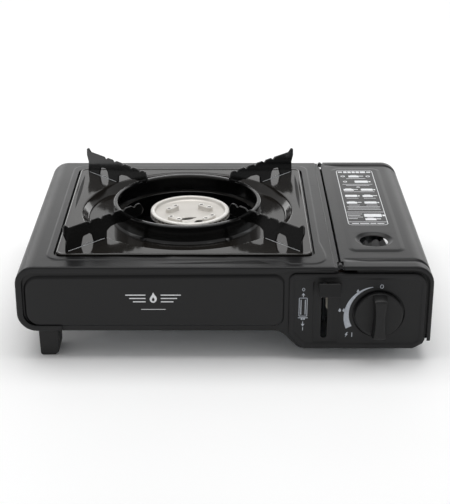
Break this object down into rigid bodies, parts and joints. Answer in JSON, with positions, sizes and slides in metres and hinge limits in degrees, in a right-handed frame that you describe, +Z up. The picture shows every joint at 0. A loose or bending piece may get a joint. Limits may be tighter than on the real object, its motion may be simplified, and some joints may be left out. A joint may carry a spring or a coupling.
{
  "type": "portable gas stove",
  "caption": "Low one-burner portable gas stove with a lift-off drip tray and pan supports, a hinged canister bay lid, a control knob and a locking lever.",
  "frame": {"origin": "on the ground under the middle of the whole stove's box, knob included", "axes": "+X to the right as the user faces the knob, +Y away from the user, +Z up"},
  "size_m": [0.34, 0.265, 0.11],
  "materials": {
    "shell_paint": "satin powder coat",
    "enamel": "gloss vitreous enamel",
    "support_enamel": "gloss enamel",
    "control_plastic": "fine textured moulding",
    "foot_rubber": "moulded",
    "burner_metal": "bead blasted casting",
    "galvanised": "zinc plated sheet",
    "plated_steel": "bright plated",
    "regulator_zinc": "die casting",
    "brass": "turned",
    "copper": "drawn tube",
    "seal_rubber": "moulded",
    "ceramic": "glazed",
    "lead_sleeve": "silicone sleeve",
    "piezo_case": "moulded"
  },
  "bodies": {
    "root": {"top_shell": "shell_paint", "front_panel": "shell_paint", "rear_panel": "shell_paint", "base_pan": "galvanised", "canister_tray": "galvanised", "bay_divider": "galvanised", "heat_shield": "galvanised", "control_panel": "control_plastic", "front_hinge_pin": "plated_steel", "rear_hinge_pin": "plated_steel", "front_hinge_bracket": "galvanised", "rear_hinge_bracket": "galvanised", "lid_catch_spring": "plated_steel", "burner_bowl": "burner_metal", "burner_cap": "burner_metal", "mixing_tube": "galvanised", "gas_jet": "brass", "gas_pipe": "copper", "ignition_lead": "lead_sleeve", "igniter_ceramic": "ceramic", "igniter_electrode": "plated_steel", "electrode_bracket": "galvanised", "electrode_post": "galvanised", "burner_bracket": "galvanised", "burner_screws": "plated_steel", "regulator_body": "regulator_zinc", "regulator_cover": "regulator_zinc", "regulator_screws": "plated_steel", "regulator_bracket": "galvanised", "canister_inlet": "brass", "inlet_seal": "seal_rubber", "inlet_probe": "brass", "canister_locator": "galvanised", "canister_leaf_spring": "plated_steel", "piezo_igniter": "piezo_case", "piezo_clip": "galvanised", "carriage_guide": "galvanised", "lever_bracket": "galvanised", "lever_pivot_pin": "plated_steel", "foot_front_left": "foot_rubber", "foot_rear_left": "foot_rubber", "foot_front_right": "foot_rubber", "foot_rear_right": "foot_rubber", "base_screws": "plated_steel"},
    "lid": {"lid": "shell_paint"},
    "tray": {"drip_tray": "enamel", "collar_ring": "enamel", "pan_support_front_right": "support_enamel", "pan_support_rear_right": "support_enamel", "pan_support_rear_left": "support_enamel", "pan_support_front_left": "support_enamel"},
    "knob": {"knob": "control_plastic", "valve_spindle": "brass", "igniter_cam": "control_plastic"},
    "lever": {"lever_arm": "plated_steel", "lever_tab": "control_plastic"},
    "carriage": {"canister_carriage": "galvanised"},
    "plunger": {"piezo_plunger": "plated_steel"}
  },
  "joints": [
    {"name": "lid_hinge", "type": "hinge", "parent": "root", "child": "lid", "pos_m": [0.0936, 0, 0.0842], "axis": [0, -1, 0], "range_deg": [0, 95]},
    {"name": "tray_lift", "type": "slide", "parent": "root", "child": "tray", "axis": [0, 0, 1], "range_m": [0, 0.04]},
    {"name": "knob_turn", "type": "hinge", "parent": "root", "child": "knob", "pos_m": [0.1262, 0, 0.04285], "axis": [0, -1, 0], "range_deg": [0, 120]},
    {"name": "lever_swing", "type": "hinge", "parent": "root", "child": "lever", "pos_m": [0.08165, -0.0715, 0.0455], "axis": [1, 0, 0], "range_deg": [0, 43.6]},
    {"name": "carriage_slide", "type": "slide", "parent": "root", "child": "carriage", "axis": [0, -1, 0], "range_m": [0, 0.0045]},
    {"name": "plunger_slide", "type": "slide", "parent": "root", "child": "plunger", "axis": [-1, 0, 0], "range_m": [0, 0.0041]}
  ],
  "couplings": [
    {"joint": "carriage_slide", "follows": "lever_swing", "m_per_rad": 0.0058563},
    {"joint": "plunger_slide", "follows": "knob_turn", "m_per_rad": 0.0019099}
  ]
}
